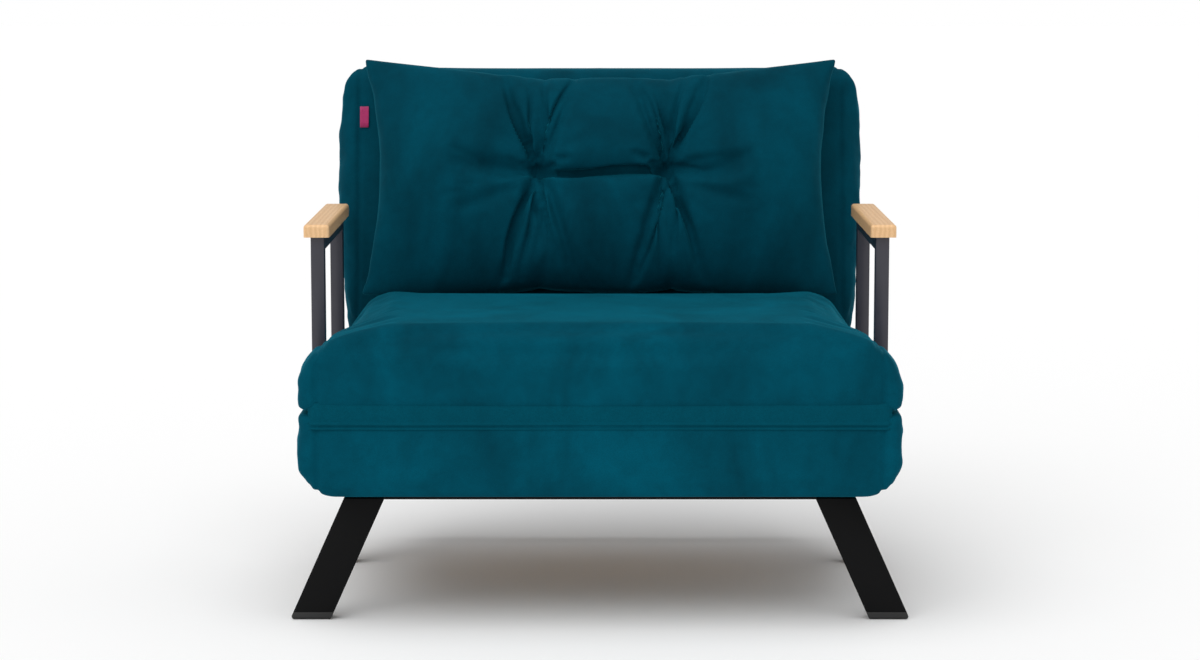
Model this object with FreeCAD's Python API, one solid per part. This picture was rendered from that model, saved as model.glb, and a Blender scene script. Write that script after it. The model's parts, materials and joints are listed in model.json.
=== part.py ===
import FreeCAD, Part
import math
import os

# Convertible chair bed. Millimetres, +Z up, front towards -Y.
# While it is built, y is 0 at the seat's front face. The finished pieces are moved so that
# the origin is on the floor under the middle of the chair's depth.

os.makedirs("parts", exist_ok=True)
V = FreeCAD.Vector
SIDES = (("left", -1), ("right", 1))
CORNER_MID = 1 - math.sqrt(0.5)

# Gaps
slide_gap = 0.3
cover_gap = 0.5
pin_gap = 0.08

# Mattress sections
sleep_height = 336.0
layer_gap = 0.6
section_thickness = 132.0
seat_depth = 500.0
seat_crown = 7.0
front_half_width = 460.0
seat_half_width = 419.0
lower_extra = 8.0
plan_corner = 30.0
waist_start = 102.0
waist_end = 180.0
seat_top_radius = 46.0
seam_radius = 12.0
bottom_radius = 58.0
nose_radius = 38.0
side_belly = 1.5

# Fabric strip that hinges the seat section on the lower one
strip_height = 23.5
strip_thickness = 2.4
hinge_forward = 4.0

# Back
origin_depth = 393.0
pivot_depth = 600.0
pivot_below_sleep = 63.0
back_lean = 13.0
back_thickness = 130.0
back_foot = 76.0
back_top = 572.0
back_half_low = 424.0
back_half_high = 442.0
back_corner = 55.0
back_edge_radius = 24.0
back_foot_radius = 14.0
back_top_radius = 30.0
back_crown = 6.0
recline_range = 90.0 - back_lean

# Back frame
back_tube = 25.0
pocket_margin = 12.0
pocket_foot = 96.0
pocket_top = 545.0
pocket_depth = 29.0
back_panel_thickness = 3.5
back_slat_width = 60.0
back_slat_thickness = 8.0
back_slats = 4

# Pillow
pillow_half_middle = 371.0
pillow_ear = 28.0
pillow_foot = 183.0
pillow_height = 372.0
pillow_thickness = 118.0
pillow_seam = 12.0
pillow_crown = 20.0
pillow_rear_gap = 0.8
pillow_edge_lift = 30.0
tuft_spacing = 228.0
tuft_radius = 40.0
tuft_depth = 36.0
button_radius = 7.0
button_height = 6.0

# Tag in the back's side seam
tag_width = 15.0
tag_length = 36.0
tag_thickness = 2.0
tag_inset = 32.0
tag_height = 471.0

# Slats
slat_width = 44.0
slat_thickness = 12.0
slat_pitch = 62.0
slat_front = 92.0
fixed_slats = 5
moving_slats = 6
slat_overlap = 10.0

# Steel base
tube_wall = 2.0
rail_width = 30.0
rail_height = 28.0
rail_middle = 368.0
rail_front = 250.0
rail_rear = 740.0
middle_rail_depth = 600.0
outrigger_width = 40.0
outrigger_height = 21.0
front_outrigger_depth = 345.0
rear_outrigger_depth = 590.0

# Pull-out
pull_gap = 5.0
pull_travel = 420.0
guide_width = 22.0
guide_height = 20.0
guide_rear = 730.0
glide_length = 40.0
bush_length = 15.0

# Legs
leg_width = 57.5
leg_thickness = 30.0
leg_splay = 24.1
leg_centre_at_floor = 450.0
front_leg_depth = 77.0
rear_leg_depth = 498.0
foot_height = 12.0
foot_radius = 5.0
leg_plate = 4.0
leg_plate_length = 90.0
leg_plate_width = 57.0
leg_bolt_inset = 6.5

# Arms
arm_inset = 9.2
arm_tube_width = 21.0
arm_tube_depth = 24.0
arm_front = 196.0
arm_rear = 558.0
arm_foot_rear = 640.0
arm_bar_height = 25.0
armrest_top = 605.0
armrest_thickness = 20.0
armrest_width = 40.5
arm_clearance = 4.3
armrest_front = 186.0
armrest_rear = 561.0
armrest_radius = 5.0
screw_inset = 60.0

# Ratchet fittings
plate_thickness = 4.0
ratchet_arm_radius = 24.0
ratchet_case_radius = 30.0
ratchet_case_thickness = 10.0
pivot_radius = 5.0
ratchet_arm_reach = 190.0
ratchet_arm_bend = 66.0
ratchet_arm_slope = 22.0
ratchet_room = 40.5
ratchet_bolt_low = 65.0
ratchet_bolt_high = 20.0
bracket_half = 24.0
ratchet_bolt_radius = 4.0
bolt_head_radius = 6.5
bolt_head_height = 4.0
screw_radius = 2.5

# Sizes that follow from the sizes above
lower_half_width = seat_half_width + lower_extra
armrest_inner = seat_half_width + arm_clearance
arm_inner = armrest_inner + arm_inset
back_frame_half = arm_inner - ratchet_room
cushion_bottom = sleep_height + layer_gap / 2 - 1 - section_thickness
lower_top = sleep_height - layer_gap / 2
seat_bottom = sleep_height + layer_gap / 2
seat_top = 2 * sleep_height - cushion_bottom - slide_gap
rail_top = cushion_bottom - slat_thickness
rail_bottom = rail_top - rail_height
pivot_height = sleep_height - pivot_below_sleep
rail_inner = rail_middle - rail_width / 2
rail_outer = rail_middle + rail_width / 2
outrigger_top = cushion_bottom - slide_gap
bar_bottom = outrigger_top
under_rest = armrest_top - armrest_thickness
pull_rail_depth = rail_front - pull_gap - rail_width
back_rear = back_thickness - pivot_below_sleep
saved = []


def save(name, shape):
    """Moves a finished piece so that the origin is under the chair's middle, and writes it."""
    placed = shape.copy()
    placed.translate(V(0, -origin_depth, 0))
    placed.exportStep("parts/" + name + ".step")
    saved.append((name, placed))


def block(x, y, z):
    """A box between pairs of limits."""
    low = V(min(x), min(y), min(z))
    return Part.makeBox(abs(x[1] - x[0]), abs(y[1] - y[0]), abs(z[1] - z[0]), low)


def tube(x, y, z, along):
    """A box with a bore through it along one axis, its wall the tube wall."""
    inner = []
    for axis, limits in zip("xyz", (x, y, z)):
        low, high = min(limits), max(limits)
        if axis == along:
            inner.append((low - 1, high + 1))
        else:
            inner.append((low + tube_wall, high - tube_wall))
    return block(x, y, z).cut(block(*inner))


def disc(x, y, z, radius):
    """A round along X between two limits."""
    return Part.makeCylinder(radius, abs(x[1] - x[0]), V(min(x), y, z), V(1, 0, 0))


def pin(x, y, low, high, radius):
    """An upright round."""
    return Part.makeCylinder(radius, high - low, V(x, y, low), V(0, 0, 1))


def plate(x, points):
    """A plate across X from an outline of (y, z) points."""
    corners = [V(min(x), y, z) for y, z in points]
    face = Part.Face(Part.makePolygon(corners + corners[:1]))
    return face.extrude(V(abs(x[1] - x[0]), 0, 0))


def quarter(depth, radius):
    """How far a rounded edge of this radius stands back, this deep from its end."""
    if depth >= radius:
        return 0.0
    return radius - math.sqrt(radius ** 2 - (radius - depth) ** 2)


def outline(place, half, low, high, low_radius, high_radius, crown):
    """A closed outline: a flat low side, round corners, bowed sides and a crowned high side."""
    across = half - low_radius, half - high_radius
    side = (low + low_radius, high - high_radius)
    low_mid = (half - low_radius * CORNER_MID, low + low_radius * CORNER_MID)
    high_mid = (half - high_radius * CORNER_MID, high - high_radius * CORNER_MID)
    side_mid = (half + side_belly, sum(side) / 2)

    def arc(a, b, c):
        return Part.Arc(place(*a), place(*b), place(*c)).toShape()

    edges = [Part.LineSegment(place(-across[0], low), place(across[0], low)).toShape()]
    edges.append(arc((across[0], low), low_mid, (half, side[0])))
    edges.append(arc((half, side[0]), side_mid, (half, side[1])))
    edges.append(arc((half, side[1]), high_mid, (across[1], high)))
    if crown > 0:
        edges.append(arc((across[1], high), (0, high + crown), (-across[1], high)))
    else:
        edges.append(Part.LineSegment(place(across[1], high), place(-across[1], high)).toShape())
    edges.append(arc((-across[1], high), (-high_mid[0], high_mid[1]), (-half, side[1])))
    edges.append(arc((-half, side[1]), (-side_mid[0], side_mid[1]), (-half, side[0])))
    edges.append(arc((-half, side[0]), (-low_mid[0], low_mid[1]), (-across[0], low)))
    return Part.Wire(edges)


def plan_half(depth, narrow):
    """Half the width of a mattress section, wide in front of the arms and narrow between them."""
    wide = front_half_width - quarter(depth, plan_corner)
    share = min(1.0, max(0.0, (depth - waist_start) / (waist_end - waist_start)))
    blend = share * share * (3 - 2 * share)
    return wide + (narrow - wide) * blend


def mattress_section(length, narrow, low, high, low_nose, high_nose, low_radius, high_radius, crown):
    """A crowned mattress section, lofted from its front to its rear."""
    end = seam_radius
    nose = max(low_nose, high_nose)
    front = [nose * share for share in (0.0, 0.08, 0.28, 0.6, 1.0)]
    waist = [waist_start + (waist_end - waist_start) * share for share in (0.0, 0.3, 0.5, 0.7, 1.0)]
    rear = [length - 2 * end, length - end, length - 0.4 * end, length - 0.08 * end, length]
    wires = []
    for depth in front + waist + [0.5 * (waist_end + length)] + rear:
        back_off = quarter(length - depth, end)
        low_here = low + quarter(depth, low_nose) + back_off
        high_here = high - crown - quarter(depth, high_nose) - back_off
        half = plan_half(depth, narrow) - back_off

        def place(a, b, y=depth):
            return V(a, y, b)

        wires.append(outline(place, half, low_here, high_here, low_radius, high_radius, crown))
    flat = block((-2 * front_half_width, 2 * front_half_width), (-front_half_width, 2 * length), (low, high))
    return Part.makeLoft(wires, True, False).common(flat)


def make_seat_section():
    section = mattress_section(seat_depth, seat_half_width, seat_bottom, seat_top, seam_radius,
                               seat_top_radius, seam_radius, seat_top_radius - 2, seat_crown)
    save("seat_section", section)


def make_lower_section():
    fitting_inner = back_frame_half - 6
    fitting_front = pivot_depth - ratchet_case_radius - 22
    length = pivot_depth + 0.5 * back_foot - 1
    section = mattress_section(length, lower_half_width, cushion_bottom, lower_top, nose_radius,
                               seam_radius, bottom_radius, seam_radius, 0)
    for _, side in SIDES:
        notch = block((side * fitting_inner, side * front_half_width),
                      (fitting_front, length + 10), (cushion_bottom - 5, lower_top + 5))
        section = section.cut(notch)
    save("lower_section", section)
    strip_half = front_half_width - plan_corner
    save("hinge_strip", block((-strip_half, strip_half), (-strip_thickness, 0),
                              (lower_top - strip_height, lower_top)))


def in_back(shape):
    """Turns and moves a piece built upright at the back's pivot to where it stands at rest."""
    placed = shape.copy()
    placed.rotate(V(0, 0, 0), V(1, 0, 0), -back_lean)
    placed.translate(V(0, pivot_depth, pivot_height))
    return placed


def back_half(height):
    """Half the back's width: narrow at the foot, full at half height, rounded in at the top."""
    share = min(1.0, (height - back_foot) / (0.55 * (back_top - back_foot)))
    half = back_half_low + (back_half_high - back_half_low) * math.sin(share * math.pi / 2)
    return half - quarter(back_top - height, back_corner)


def make_back_cushion():
    heights = [back_foot + back_foot_radius * share for share in (0.0, 0.1, 0.5, 1.0)]
    heights += [0.7 * back_foot + 0.3 * back_top, 0.4 * back_foot + 0.6 * back_top]
    heights += [back_top - back_corner * share for share in (1.0, 0.6, 0.28, 0.08, 0.0)]
    wires = []
    for height in heights:
        off = quarter(height - back_foot, back_foot_radius)
        off += quarter(back_top - height, back_top_radius)

        def place(a, b, z=height):
            return V(a, -b, z)

        wires.append(outline(place, back_half(height), -back_rear + off,
                             pivot_below_sleep - back_crown - off,
                             back_edge_radius, back_edge_radius, back_crown))
    cushion = Part.makeLoft(wires, True, False)
    pocket_half = back_frame_half + pocket_margin
    cushion = cushion.cut(block((-pocket_half, pocket_half), (back_rear - pocket_depth, back_rear + 5),
                                (pocket_foot, pocket_top)))
    for _, side in SIDES:
        slot_inner = side * (back_frame_half - 2)
        slot_outer = side * (back_frame_half + plate_thickness + 2)
        cushion = cushion.cut(block((slot_inner, slot_outer), (pivot_radius + 8, back_rear + 5),
                                    (back_foot - 5, pocket_foot + 5)))
    save("back_cushion", in_back(cushion))


def make_back_frame():
    front = back_rear - pocket_depth + cover_gap
    depth = (front, front + back_tube)
    foot = pocket_foot + cover_gap + 1.5
    top = pocket_top - cover_gap - 1.5
    inner = back_frame_half - back_tube
    for name, side in SIDES:
        save("back_tube_" + name, in_back(tube((side * inner, side * back_frame_half), depth,
                                               (foot, top), "z")))
    save("back_tube_foot", in_back(tube((-inner, inner), depth, (foot, foot + back_tube), "x")))
    save("back_tube_top", in_back(tube((-inner, inner), depth, (top - back_tube, top), "x")))
    clear = top - foot - 2 * back_tube
    gap = (clear - back_slats * back_slat_width) / (back_slats + 1)
    slats = []
    for count in range(back_slats):
        low = foot + back_tube + gap + count * (back_slat_width + gap)
        slats.append(block((-inner, inner), (front, front + back_slat_thickness),
                           (low, low + back_slat_width)))
    save("back_slats", in_back(Part.makeCompound(slats)))
    panel_half = back_frame_half + pocket_margin - cover_gap
    save("back_panel", in_back(block((-panel_half, panel_half),
                                     (back_rear - back_panel_thickness, back_rear),
                                     (pocket_foot + cover_gap, pocket_top - cover_gap))))


def make_tag():
    outer = -(back_half_high - tag_inset)
    front = pivot_below_sleep - back_crown + 0.5
    save("blank_tag", in_back(block((outer, outer + tag_width), (-front - tag_thickness, -front),
                                    (tag_height - tag_length / 2, tag_height + tag_length / 2))))


def pillow_swell(share):
    """How full the pillow is, 0 at its foot and top seams and 1 half way up."""
    return math.sqrt(max(0.0, 1 - abs(share) ** 2.6))


def make_pillow():
    middle = pillow_foot + pillow_height / 2
    wires = []
    for share in (-1.0, -0.985, -0.93, -0.8, -0.55, 0.0, 0.55, 0.8, 0.93, 0.985, 1.0):
        full = pillow_swell(share)
        low = pivot_below_sleep + pillow_rear_gap + pillow_edge_lift * (1 - full)
        high = low + pillow_seam + (pillow_thickness - pillow_seam) * full
        half = pillow_half_middle + pillow_ear * share ** 2
        radius = 0.46 * (high - low)

        def place(a, b, z=middle + share * pillow_height / 2):
            return V(a, -b, z)

        wires.append(outline(place, half, low, high, radius, radius, 0.5 + pillow_crown * full))
    pillow = Part.makeLoft(wires, True, False)
    face = -(pivot_below_sleep + pillow_rear_gap + pillow_thickness + pillow_crown)
    buttons = []
    for _, side in SIDES:
        at = side * tuft_spacing / 2
        dimple = Part.makeCone(tuft_radius, button_radius, tuft_depth, V(at, face, middle), V(0, 1, 0))
        pillow = pillow.cut(dimple)
        button = Part.makeCylinder(button_radius - 1, button_height,
                                   V(at, face + tuft_depth - button_height, middle), V(0, 1, 0))
        buttons.append(button.makeFillet(2.0, [button.Edges[0], button.Edges[2]]))
    save("pillow", in_back(pillow))
    save("pillow_buttons", in_back(Part.makeCompound(buttons)))


def make_base_rails():
    height = (rail_bottom, rail_top)
    bushes = []
    for name, side in SIDES:
        across = (side * rail_inner, side * rail_outer)
        save("side_rail_" + name, tube(across, (rail_front, rail_rear), height, "y"))
        sleeve = block((side * (rail_inner + tube_wall), side * (rail_outer - tube_wall)),
                       (rail_front, rail_front + bush_length),
                       (rail_bottom + tube_wall, rail_top - tube_wall))
        hole = guide_section(side, slide_gap, rail_front - 1, rail_front + bush_length + 1)
        bushes.append(sleeve.cut(hole))
    save("rail_bushes", Part.makeCompound(bushes))
    for name, depth in (("front", rail_front), ("middle", middle_rail_depth),
                        ("rear", rail_rear - rail_width)):
        save("cross_rail_" + name, tube((-rail_inner, rail_inner), (depth, depth + rail_width),
                                        height, "x"))


def guide_section(side, clear, front, rear):
    """The sliding bar's outline with a clearance round it."""
    half = guide_width / 2 + clear
    middle = (rail_bottom + rail_top) / 2
    return block((side * (rail_middle - half), side * (rail_middle + half)), (front, rear),
                 (middle - guide_height / 2 - clear, middle + guide_height / 2 + clear))


def make_outriggers():
    height = (outrigger_top - outrigger_height, outrigger_top)
    for name, side in SIDES:
        across = (side * rail_outer, side * (arm_inner + arm_tube_width))
        for place, depth in (("front", front_outrigger_depth), ("rear", rear_outrigger_depth)):
            save("outrigger_" + place + "_" + name,
                 tube(across, (depth, depth + outrigger_width), height, "x"))


def slat_row(count, first, y, z):
    """Slats side by side, every second place taken."""
    slats = []
    for number in range(count):
        middle = (first + 2 * number) * slat_pitch
        slats.append(block((middle - slat_width / 2, middle + slat_width / 2), y, z))
    return Part.makeCompound(slats)


def make_slats():
    fixed_rear = middle_rail_depth + rail_width + 5
    save("fixed_slats", slat_row(fixed_slats, 1 - fixed_slats, (rail_front, fixed_rear),
                                 (rail_top, cushion_bottom)))
    moving_rear = rail_front + pull_travel + slat_overlap
    save("pull_slats", slat_row(moving_slats, 1 - moving_slats, (slat_front, moving_rear),
                                (rail_top + slide_gap, cushion_bottom - slide_gap)))


def splayed(side, y, low, high, inset):
    """A leaning bar of the leg's width between two heights, thinner all round by an inset."""
    lean = math.tan(math.radians(leg_splay))
    half = leg_width / 2 / math.cos(math.radians(leg_splay)) - inset
    corners = []
    for z, edge in ((low, -half), (low, half), (high, half), (high, -half)):
        corners.append(V(side * (leg_centre_at_floor - lean * z + edge), y[0] + inset, z))
    face = Part.Face(Part.makePolygon(corners + corners[:1]))
    return face.extrude(V(0, y[1] - y[0] - 2 * inset, 0))


def leg_tube(side, depth, top):
    y = (depth, depth + leg_thickness)
    return splayed(side, y, foot_height, top, 0).cut(splayed(side, y, 0, top + 5, tube_wall))


def foot_cap(side, depth):
    """A plastic end cap: a rounded shoe with a plug that goes up into the leg."""
    y = (depth, depth + leg_thickness)
    shoe = splayed(side, y, 0, foot_height, 0)
    low_edges = [e for e in shoe.Edges if e.BoundBox.ZMax < 0.1]
    shoe = shoe.makeFillet(foot_radius, low_edges)
    plug = splayed(side, y, foot_height - 1, foot_height + 15, tube_wall + 0.2)
    return shoe.fuse(plug).removeSplitter()


def make_legs():
    bolts = []
    for name, side in SIDES:
        save("front_leg_" + name, leg_tube(side, front_leg_depth, rail_top + slide_gap))
        save("front_foot_" + name, foot_cap(side, front_leg_depth))
        save("rear_foot_" + name, foot_cap(side, rear_leg_depth))
        leg = leg_tube(side, rear_leg_depth, rail_bottom - leg_plate)
        middle_y = rear_leg_depth + leg_thickness / 2
        top = block((side * (rail_middle - leg_plate_length / 2 + 8),
                     side * (rail_middle + leg_plate_length / 2 + 8)),
                    (middle_y - leg_plate_width / 2, middle_y + leg_plate_width / 2),
                    (rail_bottom - leg_plate, rail_bottom))
        leg = leg.fuse(top).removeSplitter()
        for offset in (-1, 1):
            at = middle_y + offset * (leg_plate_width / 2 - leg_bolt_inset)
            low = rail_bottom - leg_plate
            leg = leg.cut(pin(side * rail_middle, at, low - 1, rail_bottom + 1, screw_radius + pin_gap))
            shaft = pin(side * rail_middle, at, low - 1, rail_bottom, screw_radius)
            bolts.append(shaft.fuse(pin(side * rail_middle, at, low - bolt_head_height + 1, low,
                                        screw_radius * 2)).removeSplitter())
        save("rear_leg_" + name, leg)
    save("leg_bolts", Part.makeCompound(bolts))


def make_pull_out():
    lift = slide_gap
    height = (rail_bottom + lift, rail_top + lift)
    save("pull_cross_rail", tube((-rail_outer, rail_outer), (pull_rail_depth, pull_rail_depth + rail_width),
                                 height, "x"))
    glides = []
    for name, side in SIDES:
        across = (side * rail_inner, side * rail_outer)
        save("leg_arm_" + name, tube(across, (front_leg_depth + leg_thickness, pull_rail_depth),
                                     height, "y"))
        glide_front = guide_rear - glide_length
        save("guide_bar_" + name, guide_section(side, 0, pull_rail_depth + rail_width, glide_front))
        fill = (rail_width - guide_width) / 2 - tube_wall - slide_gap
        glides.append(guide_section(side, fill, glide_front, guide_rear))
    save("guide_glides", Part.makeCompound(glides))


def arm_tubes(side):
    """The arm's four tubes: two upright posts, the top bar between them and the bar they stand on."""
    across = (side * arm_inner, side * (arm_inner + arm_tube_width))
    bar_top = bar_bottom + arm_bar_height
    return {
        "arm_post_front_": tube(across, (arm_front, arm_front + arm_tube_depth), (bar_top, under_rest), "z"),
        "arm_post_rear_": tube(across, (arm_rear - arm_tube_depth, arm_rear), (bar_top, under_rest), "z"),
        "arm_bar_top_": tube(across, (arm_front + arm_tube_depth, arm_rear - arm_tube_depth),
                             (under_rest - arm_tube_width, under_rest), "y"),
        "arm_bar_low_": tube(across, (arm_front, arm_foot_rear), (bar_bottom, bar_top), "y"),
    }


def make_arms():
    screws = []
    bolts = []
    for name, side in SIDES:
        tubes = arm_tubes(side)
        middle = side * (arm_inner + arm_tube_width / 2)
        for depth in (arm_front + screw_inset, arm_rear - screw_inset):
            hole = pin(middle, depth, under_rest - arm_tube_width - 1, under_rest + 1,
                       screw_radius + pin_gap)
            tubes["arm_bar_top_"] = tubes["arm_bar_top_"].cut(hole)
            head = pin(middle, depth, under_rest - arm_tube_width - bolt_head_height,
                       under_rest - arm_tube_width, bolt_head_radius)
            screws.append(head.fuse(pin(middle, depth, under_rest - arm_tube_width - 1,
                                        armrest_top - 8, screw_radius)).removeSplitter())
        for depth in (front_outrigger_depth, rear_outrigger_depth):
            at = depth + outrigger_width / 2
            top = bar_bottom + arm_bar_height
            hole = pin(middle, at, bar_bottom - 1, top + 1, ratchet_bolt_radius + pin_gap)
            tubes["arm_bar_low_"] = tubes["arm_bar_low_"].cut(hole)
            bolts.append(pin(middle, at, bar_bottom, top + 1, ratchet_bolt_radius)
                         .fuse(pin(middle, at, top, top + bolt_head_height, bolt_head_radius))
                         .removeSplitter())
        for piece, shape in tubes.items():
            save(piece + name, shape)
        rest = block((side * armrest_inner, side * (armrest_inner + armrest_width)),
                     (armrest_front, armrest_rear), (under_rest, armrest_top))
        soft = [e for e in rest.Edges if e.BoundBox.ZMin > under_rest + 1 or e.BoundBox.ZLength > 10]
        rest = rest.makeFillet(armrest_radius, soft)
        for depth in (arm_front + screw_inset, arm_rear - screw_inset):
            rest = rest.cut(pin(middle, depth, under_rest - 1, armrest_top - 8 + pin_gap,
                                screw_radius + pin_gap))
        save("armrest_" + name, rest)
    save("armrest_screws", Part.makeCompound(screws))
    save("arm_bolts", Part.makeCompound(bolts))


def make_ratchets():
    pins = []
    bolts = []
    for name, side in SIDES:
        arm_x = (side * back_frame_half, side * (back_frame_half + plate_thickness))
        rear = back_rear - 5
        front = back_rear - pocket_depth + 2
        arm = disc(arm_x, 0, 0, ratchet_arm_radius).fuse(
            plate(arm_x, [(4 - ratchet_arm_radius, 8), (ratchet_arm_radius - 4, -12),
                          (rear, ratchet_arm_bend), (rear, ratchet_arm_reach),
                          (front, ratchet_arm_reach),
                          (front, ratchet_arm_bend + ratchet_arm_slope)])).removeSplitter()
        arm = arm.cut(disc((side * (back_frame_half - 1), side * (back_frame_half + plate_thickness + 1)),
                           0, 0, pivot_radius + pin_gap))
        middle = (front + rear) / 2
        for height in (ratchet_arm_reach - ratchet_bolt_low, ratchet_arm_reach - ratchet_bolt_high):
            head = disc((side * (back_frame_half + plate_thickness),
                         side * (back_frame_half + plate_thickness + bolt_head_height)),
                        middle, height, bolt_head_radius)
            bolts.append(head)
        save("ratchet_arm_" + name, in_back(arm))

        inner = back_frame_half + plate_thickness + slide_gap
        fixed_x = (side * inner, side * (inner + plate_thickness))
        low_y = rear_outrigger_depth
        high_y = rear_outrigger_depth + outrigger_width
        bracket = disc(fixed_x, pivot_depth, pivot_height, ratchet_case_radius - 4).fuse(
            plate(fixed_x, [(pivot_depth - bracket_half, pivot_height), (low_y, outrigger_top),
                            (high_y, outrigger_top), (pivot_depth + bracket_half, pivot_height)]))
        case_x = (side * (inner + plate_thickness), side * (inner + plate_thickness + ratchet_case_thickness))
        case = disc(case_x, pivot_depth, pivot_height, ratchet_case_radius)
        rim = [e for e in case.Edges if abs(abs(e.BoundBox.Center.x) - abs(case_x[1])) < 0.1]
        bracket = bracket.fuse(case.makeFillet(3.0, rim[:1])).removeSplitter()
        bracket = bracket.cut(disc((side * (inner - 1), case_x[1] + side), pivot_depth, pivot_height,
                                   pivot_radius))
        save("ratchet_bracket_" + name, bracket)
        pin_x = (side * (back_frame_half - bolt_head_height - slide_gap), case_x[1])
        shaft = disc(pin_x, pivot_depth, pivot_height, pivot_radius)
        head = disc((side * (back_frame_half - bolt_head_height - slide_gap),
                     side * (back_frame_half - slide_gap)), pivot_depth, pivot_height, bolt_head_radius + 3)
        pins.append(shaft.fuse(head).removeSplitter())
    save("pivot_pins", Part.makeCompound(pins))
    save("ratchet_arm_bolts", in_back(Part.makeCompound(bolts)))


make_seat_section()
make_lower_section()
make_back_cushion()
make_back_frame()
make_tag()
make_pillow()
make_base_rails()
make_outriggers()
make_slats()
make_legs()
make_pull_out()
make_arms()
make_ratchets()

low = [min(s.BoundBox.YMin for _, s in saved), min(s.BoundBox.ZMin for _, s in saved)]
high = [max(s.BoundBox.YMax for _, s in saved), max(s.BoundBox.ZMax for _, s in saved)]
print("pieces", len(saved), "depth limits", round(low[0], 2), round(high[0], 2),
      "height", round(low[1], 2), round(high[1], 2))
print("pivot", round(pivot_depth - origin_depth, 3), round(pivot_height, 3),
      "hinge", round(-hinge_forward - origin_depth, 3), sleep_height,
      "front at", round(-origin_depth, 3), "cushion bottom", round(cushion_bottom, 2),
      "seat top", round(seat_top, 2), "recline", recline_range)
for name, shape in saved:
    if not shape.isValid():
        print("invalid", name)
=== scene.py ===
import json
import math

import bmesh
import bpy
from mathutils import Matrix, Vector, noise


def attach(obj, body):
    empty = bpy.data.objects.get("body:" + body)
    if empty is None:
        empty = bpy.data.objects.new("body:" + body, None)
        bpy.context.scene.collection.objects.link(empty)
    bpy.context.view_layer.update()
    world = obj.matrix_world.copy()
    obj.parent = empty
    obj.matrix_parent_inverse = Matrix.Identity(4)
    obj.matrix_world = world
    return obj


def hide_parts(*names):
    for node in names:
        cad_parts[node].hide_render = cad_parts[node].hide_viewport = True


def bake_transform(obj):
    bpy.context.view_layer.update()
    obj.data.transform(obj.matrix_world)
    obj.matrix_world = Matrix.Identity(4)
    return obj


# The looks of the convertible chair bed. Forms are built in millimetres with y counted back
# from the seat's front face, as in the part's source, and then moved into the frame in metres.

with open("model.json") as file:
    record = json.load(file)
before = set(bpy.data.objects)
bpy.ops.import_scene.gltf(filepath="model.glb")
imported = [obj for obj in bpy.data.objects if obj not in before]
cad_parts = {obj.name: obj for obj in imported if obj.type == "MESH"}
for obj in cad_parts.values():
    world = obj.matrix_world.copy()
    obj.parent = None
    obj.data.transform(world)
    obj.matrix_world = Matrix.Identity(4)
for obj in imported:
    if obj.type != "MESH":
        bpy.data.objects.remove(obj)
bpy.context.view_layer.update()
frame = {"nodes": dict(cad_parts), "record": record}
nodes = frame["nodes"]
scene = bpy.context.scene

# The seat's front face in the frame, in metres, and where and how far the back leans
FRONT_FACE = -0.393
PIVOT = (0.0, 600.0, 273.0)
LEAN = math.radians(-13.0)

# The mesh size of the covers, in metres, and how many frames their cloth swells for
VELVET_VOXEL = 0.0075
MATTRESS_FRAMES = 16
PILLOW_FRAMES = 26

to_chair = Matrix.Translation((0, FRONT_FACE, 0)) @ Matrix.Scale(0.001, 4)
to_back = to_chair @ Matrix.Translation(PIVOT) @ Matrix.Rotation(LEAN, 4, "X")


# Shader building

def add_node(tree, kind, place, settings=(), **values):
    """A shader node with its settings and the plain values of its inputs."""
    item = tree.nodes.new(kind)
    item.location = place
    for name, value in dict(settings).items():
        setattr(item, name, value)
    for name, value in values.items():
        item.inputs[name.replace("_", " ")].default_value = value
    return item


def add_group(name, inputs, outputs):
    """An empty shader group with named sockets, its input node and its output node."""
    tree = bpy.data.node_groups.new(name, "ShaderNodeTree")
    for label, kind, value in inputs:
        socket = tree.interface.new_socket(label, in_out="INPUT", socket_type=kind)
        socket.default_value = value
    for label, kind in outputs:
        tree.interface.new_socket(label, in_out="OUTPUT", socket_type=kind)
    return tree, add_node(tree, "NodeGroupInput", (-900, 0)), add_node(tree, "NodeGroupOutput", (900, 0))


COLOR = "NodeSocketColor"
FLOAT = "NodeSocketFloat"
VECTOR = "NodeSocketVector"


def shade(tree, place, base, amount, factor):
    """Multiplies a colour up and down by an amount as a factor goes from 0 to 1."""
    spread = add_node(tree, "ShaderNodeMapRange", place)
    spread.inputs["From Min"].default_value = 0.3
    spread.inputs["From Max"].default_value = 0.7
    low = add_node(tree, "ShaderNodeMath", (place[0] - 180, place[1] - 200), {"operation": "SUBTRACT"})
    low.inputs[0].default_value = 1.0
    high = add_node(tree, "ShaderNodeMath", (place[0] - 180, place[1] - 360), {"operation": "ADD"})
    high.inputs[0].default_value = 1.0
    tree.links.new(amount, low.inputs[1])
    tree.links.new(amount, high.inputs[1])
    tree.links.new(factor, spread.inputs["Value"])
    tree.links.new(low.outputs[0], spread.inputs["To Min"])
    tree.links.new(high.outputs[0], spread.inputs["To Max"])
    scaled = add_node(tree, "ShaderNodeVectorMath", (place[0] + 180, place[1]), {"operation": "SCALE"})
    tree.links.new(base, scaled.inputs[0])
    tree.links.new(spread.outputs[0], scaled.inputs["Scale"])
    return scaled.outputs[0]


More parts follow.
